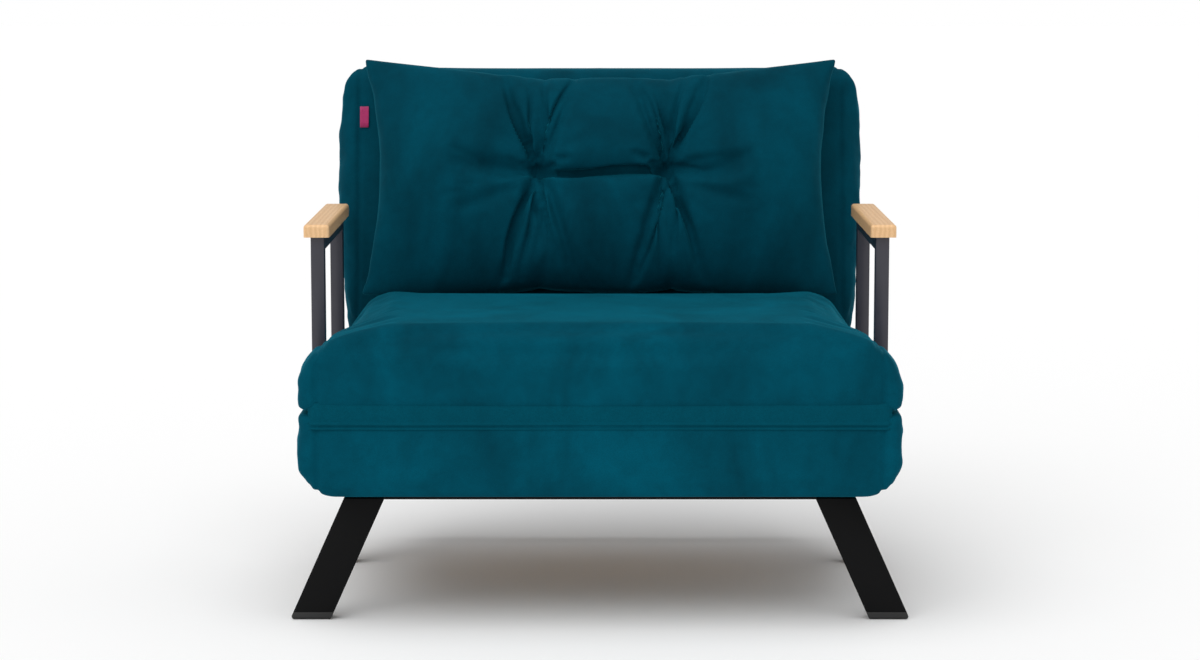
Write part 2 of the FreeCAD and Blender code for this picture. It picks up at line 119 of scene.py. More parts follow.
def build_pile_group():
    """Cut pile: brushed patches, a soft mottle and single tufts of pile."""
    tree, start, end = add_group(
        "velvet_pile",
        (("Vector", VECTOR, (0, 0, 0)), ("Colour", COLOR, (0, 0.1, 0.12, 1)),
         ("Brushed", FLOAT, 0.2), ("Mottle", FLOAT, 0.1), ("Tuft", FLOAT, 0.1)),
        (("Colour", COLOR), ("Roughness", FLOAT), ("Height", FLOAT)))
    stretch = add_node(tree, "ShaderNodeMapping", (-700, 300), Scale=(1.0, 1.0, 0.45))
    patches = add_node(tree, "ShaderNodeTexNoise", (-500, 300), Scale=7.0, Detail=3.0, Roughness=0.55,
                       Distortion=0.8)
    mottle = add_node(tree, "ShaderNodeTexNoise", (-500, 0), Scale=46.0, Detail=4.0, Roughness=0.6,
                      Distortion=0.4)
    tufts = add_node(tree, "ShaderNodeTexNoise", (-500, -300), Scale=1100.0, Detail=2.0, Roughness=0.6)
    tree.links.new(start.outputs["Vector"], stretch.inputs["Vector"])
    tree.links.new(stretch.outputs[0], patches.inputs["Vector"])
    tree.links.new(start.outputs["Vector"], mottle.inputs["Vector"])
    tree.links.new(start.outputs["Vector"], tufts.inputs["Vector"])
    colour = shade(tree, (-200, 300), start.outputs["Colour"], start.outputs["Brushed"], patches.outputs[0])
    colour = shade(tree, (100, 200), colour, start.outputs["Mottle"], mottle.outputs[0])
    colour = shade(tree, (400, 100), colour, start.outputs["Tuft"], tufts.outputs[0])
    rough = add_node(tree, "ShaderNodeMapRange", (400, -250))
    rough.inputs["To Min"].default_value = 0.72
    rough.inputs["To Max"].default_value = 0.95
    tree.links.new(patches.outputs[0], rough.inputs["Value"])
    height = add_node(tree, "ShaderNodeMath", (400, -450), {"operation": "MULTIPLY_ADD"})
    height.inputs[1].default_value = 0.35
    tree.links.new(mottle.outputs[0], height.inputs[0])
    tree.links.new(tufts.outputs[0], height.inputs[2])
    tree.links.new(colour, end.inputs["Colour"])
    tree.links.new(rough.outputs[0], end.inputs["Roughness"])
    tree.links.new(height.outputs[0], end.inputs["Height"])
    return tree


def build_grain_group():
    """Straight wood grain along the vector's Y: growth bands, pores and short flecks."""
    tree, start, end = add_group(
        "wood_grain",
        (("Vector", VECTOR, (0, 0, 0)), ("Early", COLOR, (0.75, 0.5, 0.28, 1)),
         ("Late", COLOR, (0.55, 0.33, 0.15, 1)), ("Bands", FLOAT, 60.0), ("Flecks", FLOAT, 0.3)),
        (("Colour", COLOR), ("Roughness", FLOAT), ("Height", FLOAT)))
    along = add_node(tree, "ShaderNodeMapping", (-750, 200), Scale=(1.0, 0.06, 1.0))
    wander = add_node(tree, "ShaderNodeTexNoise", (-560, 350), Scale=14.0, Detail=3.0, Roughness=0.5)
    bands = add_node(tree, "ShaderNodeTexWave", (-330, 300), {"wave_type": "BANDS", "bands_direction": "X"},
                     Distortion=3.0, Detail=3.0, Detail_Scale=1.4)
    pores = add_node(tree, "ShaderNodeTexNoise", (-560, 0), Scale=900.0, Detail=2.0, Roughness=0.6)
    fleck_map = add_node(tree, "ShaderNodeMapping", (-750, -250), Scale=(1.0, 0.18, 1.0))
    flecks = add_node(tree, "ShaderNodeTexVoronoi", (-560, -250), Scale=420.0)
    tree.links.new(start.outputs["Vector"], along.inputs["Vector"])
    tree.links.new(along.outputs[0], wander.inputs["Vector"])
    tree.links.new(along.outputs[0], bands.inputs["Vector"])
    tree.links.new(start.outputs["Bands"], bands.inputs["Scale"])
    tree.links.new(along.outputs[0], pores.inputs["Vector"])
    tree.links.new(start.outputs["Vector"], fleck_map.inputs["Vector"])
    tree.links.new(fleck_map.outputs[0], flecks.inputs["Vector"])
    blend = add_node(tree, "ShaderNodeMath", (-120, 250), {"operation": "MULTIPLY_ADD"})
    blend.inputs[1].default_value = 0.45
    tree.links.new(bands.outputs["Fac"], blend.inputs[0])
    half = add_node(tree, "ShaderNodeMath", (-330, 80), {"operation": "MULTIPLY"})
    half.inputs[1].default_value = 0.6
    tree.links.new(wander.outputs[0], half.inputs[0])
    tree.links.new(half.outputs[0], blend.inputs[2])
    mix = add_node(tree, "ShaderNodeMix", (80, 250), {"data_type": "RGBA"})
    tree.links.new(blend.outputs[0], mix.inputs["Factor"])
    tree.links.new(start.outputs["Early"], mix.inputs[6])
    tree.links.new(start.outputs["Late"], mix.inputs[7])
    colour = shade(tree, (330, 250), mix.outputs[2], start.outputs["Flecks"], pores.outputs[0])
    rough = add_node(tree, "ShaderNodeMapRange", (330, -120))
    rough.inputs["To Min"].default_value = 0.36
    rough.inputs["To Max"].default_value = 0.56
    tree.links.new(blend.outputs[0], rough.inputs["Value"])
    height = add_node(tree, "ShaderNodeMath", (330, -350), {"operation": "MULTIPLY_ADD"})
    height.inputs[1].default_value = 0.3
    tree.links.new(flecks.outputs["Distance"], height.inputs[0])
    tree.links.new(pores.outputs[0], height.inputs[2])
    tree.links.new(colour, end.inputs["Colour"])
    tree.links.new(rough.outputs[0], end.inputs["Roughness"])
    tree.links.new(height.outputs[0], end.inputs["Height"])
    return tree


def build_coat_group():
    """Baked paint or moulded skin: a fine orange peel and faint cloudiness."""
    tree, start, end = add_group(
        "fine_coat",
        (("Vector", VECTOR, (0, 0, 0)), ("Colour", COLOR, (0.02, 0.02, 0.02, 1)), ("Cloud", FLOAT, 0.15),
         ("Peel Size", FLOAT, 900.0), ("Rough Low", FLOAT, 0.4), ("Rough High", FLOAT, 0.6)),
        (("Colour", COLOR), ("Roughness", FLOAT), ("Height", FLOAT)))
    clouds = add_node(tree, "ShaderNodeTexNoise", (-500, 250), Scale=18.0, Detail=4.0, Roughness=0.6)
    peel = add_node(tree, "ShaderNodeTexNoise", (-500, -50), Detail=2.0, Roughness=0.5)
    tree.links.new(start.outputs["Vector"], clouds.inputs["Vector"])
    tree.links.new(start.outputs["Vector"], peel.inputs["Vector"])
    tree.links.new(start.outputs["Peel Size"], peel.inputs["Scale"])
    colour = shade(tree, (-150, 250), start.outputs["Colour"], start.outputs["Cloud"], clouds.outputs[0])
    rough = add_node(tree, "ShaderNodeMapRange", (200, -50))
    tree.links.new(clouds.outputs[0], rough.inputs["Value"])
    tree.links.new(start.outputs["Rough Low"], rough.inputs["To Min"])
    tree.links.new(start.outputs["Rough High"], rough.inputs["To Max"])
    tree.links.new(colour, end.inputs["Colour"])
    tree.links.new(rough.outputs[0], end.inputs["Roughness"])
    tree.links.new(peel.outputs[0], end.inputs["Height"])
    return tree


def build_weave_group():
    """Plain weave: two crossed sets of threads with a little unevenness."""
    tree, start, end = add_group(
        "plain_weave",
        (("Vector", VECTOR, (0, 0, 0)), ("Thread", COLOR, (0.1, 0.1, 0.1, 1)), ("Shade", FLOAT, 0.3),
         ("Count", FLOAT, 900.0)),
        (("Colour", COLOR), ("Height", FLOAT)))
    warp = add_node(tree, "ShaderNodeTexWave", (-500, 250), {"bands_direction": "X"}, Distortion=0.6,
                    Detail=1.0)
    weft = add_node(tree, "ShaderNodeTexWave", (-500, -50), {"bands_direction": "Z"}, Distortion=0.6,
                    Detail=1.0)
    slubs = add_node(tree, "ShaderNodeTexNoise", (-500, -350), Scale=120.0, Detail=3.0)
    for item in (warp, weft, slubs):
        tree.links.new(start.outputs["Vector"], item.inputs["Vector"])
    for item in (warp, weft):
        tree.links.new(start.outputs["Count"], item.inputs["Scale"])
    over = add_node(tree, "ShaderNodeMath", (-250, 100), {"operation": "MULTIPLY"})
    tree.links.new(warp.outputs["Fac"], over.inputs[0])
    tree.links.new(weft.outputs["Fac"], over.inputs[1])
    both = add_node(tree, "ShaderNodeMath", (-50, 0), {"operation": "MULTIPLY_ADD"})
    both.inputs[1].default_value = 0.6
    tree.links.new(slubs.outputs[0], both.inputs[0])
    tree.links.new(over.outputs[0], both.inputs[2])
    colour = shade(tree, (200, 200), start.outputs["Thread"], start.outputs["Shade"], both.outputs[0])
    tree.links.new(colour, end.inputs["Colour"])
    tree.links.new(both.outputs[0], end.inputs["Height"])
    return tree


pile = build_pile_group()
grain = build_grain_group()
coat = build_coat_group()
weave = build_weave_group()


def surface(name, group, values, bump, plain, turn=(0, 0, 0)):
    """A material: one effect group feeding a Principled shader, with its plain sockets."""
    material = bpy.data.materials.new(name)
    material.use_nodes = True
    tree = material.node_tree
    shader = tree.nodes["Principled BSDF"]
    coordinates = add_node(tree, "ShaderNodeTexCoord", (-900, 0))
    mapping = add_node(tree, "ShaderNodeMapping", (-700, 0), Rotation=turn)
    effect = add_node(tree, "ShaderNodeGroup", (-450, 0), {"node_tree": group})
    for label, value in values.items():
        effect.inputs[label].default_value = value
    tree.links.new(coordinates.outputs["Object"], mapping.inputs["Vector"])
    tree.links.new(mapping.outputs[0], effect.inputs["Vector"])
    tree.links.new(effect.outputs["Colour"], shader.inputs["Base Color"])
    if "Roughness" in effect.outputs:
        tree.links.new(effect.outputs["Roughness"], shader.inputs["Roughness"])
    strength, distance = bump
    relief = add_node(tree, "ShaderNodeBump", (-200, -250), Strength=strength, Distance=distance)
    tree.links.new(effect.outputs["Height"], relief.inputs["Height"])
    tree.links.new(relief.outputs[0], shader.inputs["Normal"])
    for label, value in plain.items():
        shader.inputs[label].default_value = value
    return material


VELVET_PLAIN = {"Sheen Weight": 0.3, "Sheen Roughness": 0.3, "Sheen Tint": (0.02, 0.55, 0.75, 1),
                "Specular IOR Level": 0.03}
velvet = surface("teal_velvet", pile,
                 {"Colour": (0.0001, 0.06, 0.094, 1), "Brushed": 0.26, "Mottle": 0.08, "Tuft": 0.16},
                 (0.25, 0.0008), VELVET_PLAIN)
# A darker copy of the same velvet for the back, the pillow and its buttons: painted shade, because these
# lean back from the light
velvet_painted_shade = surface("teal_velvet_painted_shade", pile,
                      {"Colour": (0.0001, 0.047, 0.074, 1), "Brushed": 0.28, "Mottle": 0.08, "Tuft": 0.16},
                      (0.25, 0.0008), VELVET_PLAIN)
strip_cloth = surface("teal_strip", pile,
                      {"Colour": (0.0001, 0.06, 0.092, 1), "Brushed": 0.08, "Mottle": 0.05, "Tuft": 0.2},
                      (0.3, 0.0006), VELVET_PLAIN)
tag_cloth = surface("magenta_tag", weave, {"Thread": (0.43, 0.004, 0.12, 1), "Shade": 0.25, "Count": 700.0},
                    (0.5, 0.0004), {"Roughness": 0.55, "Sheen Weight": 0.2})
lining = surface("black_lining", weave, {"Thread": (0.012, 0.012, 0.014, 1), "Shade": 0.5, "Count": 260.0},
                 (0.5, 0.0008), {"Roughness": 0.85, "Sheen Weight": 0.15})
beech = surface("beech", grain,
                      {"Early": (0.88, 0.57, 0.3, 1), "Late": (0.72, 0.42, 0.19, 1), "Bands": 42.0,
                       "Flecks": 0.1},
                      (0.12, 0.0004), {"Coat Weight": 0.25, "Coat Roughness": 0.3})
SLAT_WOOD = {"Early": (0.66, 0.46, 0.26, 1), "Late": (0.48, 0.3, 0.15, 1), "Bands": 30.0, "Flecks": 0.16}
slat_along = surface("slat_wood", grain, SLAT_WOOD, (0.25, 0.0005), {})
slat_across = surface("slat_wood_across", grain, SLAT_WOOD, (0.25, 0.0005), {},
                      turn=(0, 0, math.radians(90)))
black_steel = surface("black_steel", coat,
                      {"Colour": (0.0022, 0.0022, 0.0025, 1), "Cloud": 0.2, "Peel Size": 700.0,
                       "Rough Low": 0.42, "Rough High": 0.6},
                      (0.12, 0.0004), {"Specular IOR Level": 0.12})
grey_steel = surface("grey_steel", coat,
                     {"Colour": (0.036, 0.035, 0.048, 1), "Cloud": 0.12, "Peel Size": 700.0,
                      "Rough Low": 0.3, "Rough High": 0.42},
                     (0.08, 0.0003), {"Specular IOR Level": 0.5})
black_plastic = surface("black_plastic", coat,
                        {"Colour": (0.011, 0.011, 0.011, 1), "Cloud": 0.15, "Peel Size": 1500.0,
                         "Rough Low": 0.5, "Rough High": 0.65},
                        (0.3, 0.0003), {})
zinc = surface("zinc", coat,
               {"Colour": (0.55, 0.55, 0.57, 1), "Cloud": 0.12, "Peel Size": 400.0,
                "Rough Low": 0.25, "Rough High": 0.42},
               (0.08, 0.0002), {"Metallic": 1.0})


# Mesh building

def new_piece(name, bm, place=None):
    """Makes an object from a bmesh, its faces outwards and its place in its mesh."""
    if place is not None:
        bmesh.ops.transform(bm, matrix=place, verts=bm.verts)
    bmesh.ops.recalc_face_normals(bm, faces=bm.faces)
    mesh = bpy.data.meshes.new(name)
    bm.to_mesh(mesh)
    bm.free()
    piece = bpy.data.objects.new(name, mesh)
    scene.collection.objects.link(piece)
    return piece


def dress(piece, material, body, stands_for):
    """Gives a piece its material, its body unless that is None and the nodes it stands for."""
    piece.data.materials.clear()
    piece.data.materials.append(material)
    for face in piece.data.polygons:
        face.use_smooth = True
    if body:
        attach(piece, body)
    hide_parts(*stands_for)


def apply_modifiers(piece):
    """Replaces the piece's mesh with what its modifiers make of it."""
    bpy.context.view_layer.update()
    graph = bpy.context.evaluated_depsgraph_get()
    result = bpy.data.meshes.new_from_object(piece.evaluated_get(graph))
    old = piece.data
    piece.modifiers.clear()
    piece.data = result
    result.name = old.name
    bpy.data.meshes.remove(old)


def even_skin(piece, voxel, smoothing):
    """Remeshes a closed form into even quads and smooths its corners."""
    remesh = piece.modifiers.new("even", "REMESH")
    remesh.mode = "VOXEL"
    remesh.voxel_size = voxel
    remesh.use_smooth_shade = True
    if smoothing:
        soften = piece.modifiers.new("soften", "SMOOTH")
        soften.factor = 0.5
        soften.iterations = smoothing
    apply_modifiers(piece)


def refine(piece):
    """One level of subdivision, kept in the mesh."""
    finer = piece.modifiers.new("finer", "SUBSURF")
    finer.levels = 1
    finer.render_levels = 1
    apply_modifiers(piece)


def inflate(piece, pressure, frames, cap, pins, stretch=15.0, bend=0.5):
    """Blows the cover up as cloth, held at its pins, and keeps no point further off than the cap."""
    before = [v.co.copy() for v in piece.data.vertices]
    held = piece.vertex_groups.new(name="held")
    for weight, chosen in pins:
        held.add([v.index for v in piece.data.vertices if chosen(v.co)], weight, "REPLACE")
    cloth = piece.modifiers.new("swell", "CLOTH")
    settings = cloth.settings
    settings.quality = 5
    settings.mass = 0.3
    settings.tension_stiffness = stretch
    settings.compression_stiffness = stretch
    settings.shear_stiffness = 5.0
    settings.bending_stiffness = bend
    settings.use_pressure = True
    settings.uniform_pressure_force = pressure
    settings.vertex_group_mass = "held"
    settings.effector_weights.gravity = 0.0
    cloth.collision_settings.use_collision = False
    cloth.point_cache.frame_start = 1
    cloth.point_cache.frame_end = frames
    for number in range(1, frames + 1):
        scene.frame_set(number)
    graph = bpy.context.evaluated_depsgraph_get()
    blown = piece.evaluated_get(graph).data
    after = [v.co.copy() for v in blown.vertices]
    piece.modifiers.remove(cloth)
    scene.frame_set(1)
    for vertex, start, goal in zip(piece.data.vertices, before, after):
        move = goal - start
        if cap and move.length > cap:
            move *= cap / move.length
        vertex.co = start + move
    piece.vertex_groups.clear()
    piece.data.update()


def fall_off(distance, reach):
    """1 at no distance, easing to 0 at the reach."""
    if distance >= reach:
        return 0.0
    return (1 + math.cos(math.pi * distance / reach)) / 2


def ruffle(point, stretch, seed):
    """Smooth noise between -1 and 1, finer along the axes with more stretch."""
    return noise.noise(Vector((point.x * stretch[0], point.y * stretch[1], point.z * stretch[2])) + seed)


def slab(outline, low, high):
    """A block from a plan outline, between two heights, all in millimetres."""
    bm = bmesh.new()
    face = bm.faces.new([bm.verts.new((x, y, low)) for x, y in outline])
    grown = bmesh.ops.extrude_face_region(bm, geom=[face])
    raised = [v for v in grown["geom"] if isinstance(v, bmesh.types.BMVert)]
    bmesh.ops.translate(bm, vec=(0, 0, high - low), verts=raised)
    bmesh.ops.recalc_face_normals(bm, faces=bm.faces)
    return bm


def round_edges(bm, chosen, radius, segments=6):
    """Rounds the edges whose two ends both pass the test."""
    edges = [e for e in bm.edges if all(chosen(v.co) for v in e.verts)]
    bmesh.ops.bevel(bm, geom=edges, offset=radius, offset_type="OFFSET", segments=segments,
                    profile=0.5, affect="EDGES", clamp_overlap=True, material=-1)


def mirrored(half):
    """A plan outline from its right half, front to rear."""
    return [(x, y) for x, y in half] + [(-x, y) for x, y in reversed(half)]


# Mattress sections, in millimetres. The plan of the seat's right side starts at its front: a
# small corner, the full width in front of the arms, and a waist that leads in between them.
WAIST = ((450, 0), (460, 14), (460, 96), (455, 114), (440, 141), (424, 168))
SEAT_REAR = ((417, 184), (417, 498))
SEAT_HEIGHTS = (338, 459)
LOWER_REAR = ((426, 186), (426, 546), (386, 549), (386, 635))
LOWER_HEIGHTS = (205, 335)
BACK_HALF = 441
BACK_HALF_FOOT = 424
BACK_SIZE = (2 * BACK_HALF, 122, 494)
BACK_MIDDLE = (0, 4, 325)


def build_seat_pad():
    """The upper section before it swells: crowned edges above, a crisp edge at the fold."""
    bm = slab(mirrored(WAIST + SEAT_REAR), *SEAT_HEIGHTS)
    round_edges(bm, lambda p: p.z > 450, 44, 8)
    round_edges(bm, lambda p: p.z < 340, 6, 3)
    return new_piece("seat_pad", bm, to_chair)


def build_lower_pad():
    """The lower section before it swells, notched at the rear for the ratchet fittings."""
    bm = slab(mirrored(WAIST + LOWER_REAR), *LOWER_HEIGHTS)
    round_edges(bm, lambda p: p.z < 210 and p.y < 20 and abs(p.x) < 452, 12, 4)
    round_edges(bm, lambda p: p.z > 330 and p.y < 540, 6, 3)
    return new_piece("lower_pad", bm, to_chair)


def build_back_pad():
    """The back section before it swells, in the back's own place: z runs up it, y to its rear."""
    bm = bmesh.new()
    bmesh.ops.create_cube(bm, size=1.0)
    bmesh.ops.scale(bm, vec=BACK_SIZE, verts=bm.verts)
    bmesh.ops.translate(bm, vec=BACK_MIDDLE, verts=bm.verts)
    bmesh.ops.bisect_plane(bm, geom=bm.verts[:] + bm.edges[:] + bm.faces[:], dist=0.001,
                           plane_co=(0, 0, 340), plane_no=(0, 0, 1))
    for vertex in bm.verts:
        if vertex.co.z < 90:
            vertex.co.x *= BACK_HALF_FOOT / BACK_HALF
    round_edges(bm, lambda p: p.z > 560 and abs(p.x) > 400, 52, 8)
    round_edges(bm, lambda p: p.z > 500 or abs(p.x) > 430, 26, 5)
    return new_piece("back_pad", bm, Matrix.Scale(0.001, 4))


# Seams and swell of the covers, in metres
SEAT_SEAM = 0.430
BACK_SEAM = 0.411
SEAM_WIDTH = 0.007
FRONT_FLAT = 0.0013
FRONT_SWELL = 0.0022
WRINKLE_SEED = Vector((3.1, 7.7, 1.3))

# The recess behind the back, in which its frame and lining sit, in metres
RECESS_HALF = 0.4055
RECESS_FOOT = 0.094
RECESS_TOP = 0.5465
RECESS_FLOOR = 0.0375


def shift_skin(piece, amount):
    """Moves each point of the skin along its normal by what the amount says for its place."""
    normals = [v.normal.copy() for v in piece.data.vertices]
    places = [v.co.copy() for v in piece.data.vertices]
    moved = []
    for place, normal in zip(places, normals):
        moved.extend(place + normal * amount(place))
    piece.data.vertices.foreach_set("co", moved)
    piece.data.update()


def seam_groove(piece, distance_to_seam, width, depth):
    """Draws the skin in along a seam."""
    shift_skin(piece, lambda p: -fall_off(distance_to_seam(p), width) * depth)


def gather_sides(piece, reach_in, amount, lowest, highest):
    """Puckers of the side panels: short folds that run out from the seam and fade up and down."""
    def folds(point):
        outwards = abs(point.x) - reach_in
        if outwards <= 0:
            return 0.0
        share = min(1.0, outwards / 0.02)
        along = point + Vector((0, 0, 0.25 * outwards))
        wide = ruffle(along, (6, 12, 30), WRINKLE_SEED)
        fine = ruffle(along, (10, 34, 62), -WRINKLE_SEED)
        height = min(1.0, max(0.0, (point.z - lowest) / 0.03), max(0.0, (highest - point.z) / 0.03))
        return (wide + 0.55 * fine) * amount * share * height
    shift_skin(piece, folds)


def slope_sides(piece, widest, top, amount):
    """Draws the sides in towards the top, more and more above where the section is widest."""
    for vertex in piece.data.vertices:
        share = max(0.0, (vertex.co.z - widest) / (top - widest))
        vertex.co.x *= 1 - amount * share * share
    piece.data.update()


def round_long_corners(piece, reach, inner, middle, way):
    """Turns the square corners along both sides into quarter rounds, at the top or at the bottom."""
    for vertex in piece.data.vertices:
        point = vertex.co
        out = (abs(point.x) - inner) / reach
        on = way * (point.z - middle) / reach
        if out > 0 and on > 0 and point.y < FRONT_FACE + 0.53:
            ease = max(out, on) / math.hypot(out, on)
            point.x = math.copysign(inner + out * reach * ease, point.x)
            point.z = middle + way * on * reach * ease
    piece.data.update()


def settle_front(piece):
    """Keeps the swell of the front face small, because the two fronts meet when the seat folds over."""
    for vertex in piece.data.vertices:
        swell = FRONT_FACE - FRONT_FLAT - vertex.co.y
        if swell > 0:
            vertex.co.y = FRONT_FACE - FRONT_FLAT - FRONT_SWELL * (1 - math.exp(-swell / FRONT_SWELL))
    piece.data.update()


def make_seat_pad():
    """The seat section: the top layer of the folded seat, which folds over forwards."""
    pad = build_seat_pad()
    even_skin(pad, VELVET_VOXEL, 4)
    round_long_corners(pad, 0.070, 0.390, 0.389, 1)
    inflate(pad, 3.0, MATTRESS_FRAMES, 0.010,
            ((1.0, lambda p: p.z < 0.342), (0.6, lambda p: abs(abs(p.x) - SEAT_SEAM) < 0.004)))
    refine(pad)
    slope_sides(pad, 0.36, 0.468, 0.075)
    gather_sides(pad, 0.432, 0.0036, 0.338, 0.47)
    seam_groove(pad, lambda p: abs(abs(p.x) - SEAT_SEAM), SEAM_WIDTH, 0.0032)
    seam_groove(pad, lambda p: abs(p.z - 0.349) + max(0.0, 0.02 - (p.y - FRONT_FACE)), 0.005, 0.001)
    settle_front(pad)
    dress(pad, velvet, "seat", ["seat_section"])


def make_lower_pad():
    """The lower section: the layer that stays in place on the slats."""
    pad = build_lower_pad()
    even_skin(pad, VELVET_VOXEL, 4)
    round_long_corners(pad, 0.058, 0.402, 0.263, -1)
    inflate(pad, 2.0, MATTRESS_FRAMES, 0.005,
            ((1.0, lambda p: p.z > 0.330 or p.z < 0.209),
             (0.6, lambda p: abs(abs(p.x) - SEAT_SEAM) < 0.004)))
    refine(pad)
    gather_sides(pad, 0.432, 0.0036, 0.205, 0.334)
    seam_groove(pad, lambda p: abs(abs(p.x) - SEAT_SEAM), SEAM_WIDTH, 0.0032)
    settle_front(pad)
    dress(pad, velvet, "base", ["lower_section"])


def make_back_pad():
    """The back section, with its frame in a recess behind."""
    pad = build_back_pad()
    even_skin(pad, VELVET_VOXEL, 4)
    inflate(pad, 3.0, MATTRESS_FRAMES, 0.008,
            ((1.0, lambda p: p.y > 0.058), (0.6, lambda p: abs(abs(p.x) - BACK_SEAM) < 0.004)))
    refine(pad)
    gather_sides(pad, 0.414, 0.0022, 0.08, 0.56)
    seam_groove(pad, lambda p: abs(abs(p.x) - BACK_SEAM) + max(0.0, p.y), SEAM_WIDTH, 0.003)
    for vertex in pad.data.vertices:
        point = vertex.co
        if point.y > 0.04 and abs(point.x) < RECESS_HALF and RECESS_FOOT < point.z < RECESS_TOP:
            point.y = min(point.y, RECESS_FLOOR)
    pad.data.transform(to_back @ Matrix.Scale(1000, 4))
    # The back gets the darker copy of the velvet: painted shade
    dress(pad, velvet_painted_shade, "back", ["back_cushion"])


# The pillow: millimetres up the back and across for its cover, and metres from its middle for
# the two tufts, which aren't quite even
PILLOW_FOOT = 162.0
PILLOW_TOP = 564.0
PILLOW_HALF = 408.0
TUFTS = ((-0.108, 0.004), (0.116, 0.004))
TUFT_HELD = 0.0065

# The same in metres: half its height, its finished width, and how full it starts and ends
HALF_HEIGHT = (PILLOW_TOP - PILLOW_FOOT) / 2000
HALF_WIDTH = PILLOW_HALF / 1000
PILLOW_MIDDLE = (PILLOW_TOP + PILLOW_FOOT) / 2000
PILLOW_WIDTH = 0.8
EDGE_THICKNESS = 0.004
FULLNESS = 0.052
FOOT_DROP = 0.030

# How far the pillow's middle stands off the back's own plane, where the back's front lies, and
# over how much of its thickness the pillow is pressed flat against it, in metres
PILLOW_DEPTH = 0.116
BACK_FRONT = 0.0645
FLATTENED = 0.012


def build_pillow_cover():
    """Two cut pieces sewn round their edge, laid flat."""
    bm = bmesh.new()
    bmesh.ops.create_grid(bm, x_segments=128, y_segments=62, size=0.5)
    bmesh.ops.scale(bm, vec=(2 * PILLOW_HALF, PILLOW_TOP - PILLOW_FOOT, 1), verts=bm.verts)
    grown = bmesh.ops.extrude_face_region(bm, geom=bm.faces[:])
    raised = [v for v in grown["geom"] if isinstance(v, bmesh.types.BMVert)]
    bmesh.ops.translate(bm, vec=(0, 0, 2000 * EDGE_THICKNESS), verts=raised)
    return new_piece("pillow_pad", bm, Matrix.Scale(0.001, 4))


def lens(point):
    """How full the pillow is at a point, from 0 at its edge to 1."""
    across = max(0.0, 1 - abs(point.x / HALF_WIDTH) ** 2.6)
    up = max(0.0, 1 - abs(point.y / HALF_HEIGHT) ** 2.2)
    return math.sqrt(across) * math.sqrt(up)


def crease(point):
    """How deep the pillow's creases lie at a point: fans above and below each tuft, one between them."""
    deep = 0.0
    for x, y in TUFTS:
        away = abs(point.y - y)
        for lean in (-0.34, 0.02, 0.36):
            line = x + lean * away
            reach = 0.009 + 0.05 * away
            strength = 0.55 * math.exp(-away / 0.13) + 0.07
            deep = max(deep, strength * fall_off(abs(point.x - line), reach))
        deep = max(deep, 0.8 * fall_off(math.hypot(point.x - x, point.y - y), 0.034))
    if TUFTS[0][0] < point.x < TUFTS[1][0]:
        deep = max(deep, 0.2 * fall_off(abs(point.y + 0.004), 0.016))
    return deep


def sharp_crease(point):
    """The narrow pinched lines at the heart of each crease."""
    deep = 0.0
    for x, y in TUFTS:
        away = abs(point.y - y)
        if away > 0.17:
            continue
        for number, lean in enumerate((-0.36, -0.12, 0.14, 0.40)):
            bend = 0.006 * math.sin(away * 31 + number * 2 + x * 40)
            line = x + (lean if point.y > y else -0.8 * lean) * away + bend
            fade = math.exp(-((away - 0.05 - 0.012 * number) / 0.06) ** 2)
            deep = max(deep, fade * fall_off(abs(point.x - line), 0.005 + 0.03 * away))
    if TUFTS[0][0] < point.x < TUFTS[1][0]:
        deep = max(deep, 0.8 * fall_off(abs(point.y + 0.003 - 0.004 * math.sin(point.x * 30)), 0.008))
    return deep


def shape_pillow(pillow):
    """The filled cover before it swells: a lens, thinner along its creases, with long corners."""
    for vertex in pillow.data.vertices:
        point = vertex.co
        side = 1 if point.z > EDGE_THICKNESS else -1
        full = lens(point) * (1 - crease(point))
        point.z = EDGE_THICKNESS + side * (EDGE_THICKNESS + FULLNESS * full)
        point.x *= 1 - 0.05 * (1 - (point.y / HALF_HEIGHT) ** 2)
        drop = 0.075 if point.y > 0 else 0.012
        point.y *= 1 - drop * (1 - min(1.0, abs(point.x / HALF_WIDTH)) ** 2)


def size_pillow(pillow):
    """Brings the swollen pillow back to its width and height."""
    low, high = [f(v.co.x for v in pillow.data.vertices) for f in (min, max)]
    foot, top = [f(v.co.y for v in pillow.data.vertices) for f in (min, max)]
    for vertex in pillow.data.vertices:
        vertex.co.x *= PILLOW_WIDTH / (high - low)
        vertex.co.y = (vertex.co.y - (foot + top) / 2) * (2 * HALF_HEIGHT / (top - foot))


def settle_pillow(pillow):
    """Lets the foot of the pillow hang behind the seat and its side seams run a little unevenly."""
    for vertex in pillow.data.vertices:
        point = vertex.co
        low = max(0.0, -point.y / HALF_HEIGHT)
        middle = 1 - min(1.0, abs(point.x) / 0.4) ** 2
        point.y -= FOOT_DROP * low * low * middle
        near_edge = 1 - fall_off(abs(point.x) - 0.36, 0.04) if abs(point.x) > 0.36 else 0.0
        point.x += 0.0035 * near_edge * ruffle(point, (2, 26, 2), WRINKLE_SEED)


def lay_on_back(pillow):
    """Stands the pillow against the back: flat behind, curved back at its top and foot."""
    for vertex in pillow.data.vertices:
        across, up, out = vertex.co
        depth = PILLOW_DEPTH + out - 0.022 * (up / HALF_HEIGHT) ** 2
        if depth < BACK_FRONT + FLATTENED:
            depth = BACK_FRONT + FLATTENED * math.exp((depth - BACK_FRONT - FLATTENED) / FLATTENED)
        vertex.co = (across, -depth, PILLOW_MIDDLE + up)
    pillow.data.transform(to_back @ Matrix.Scale(1000, 4))
    pillow.data.update()


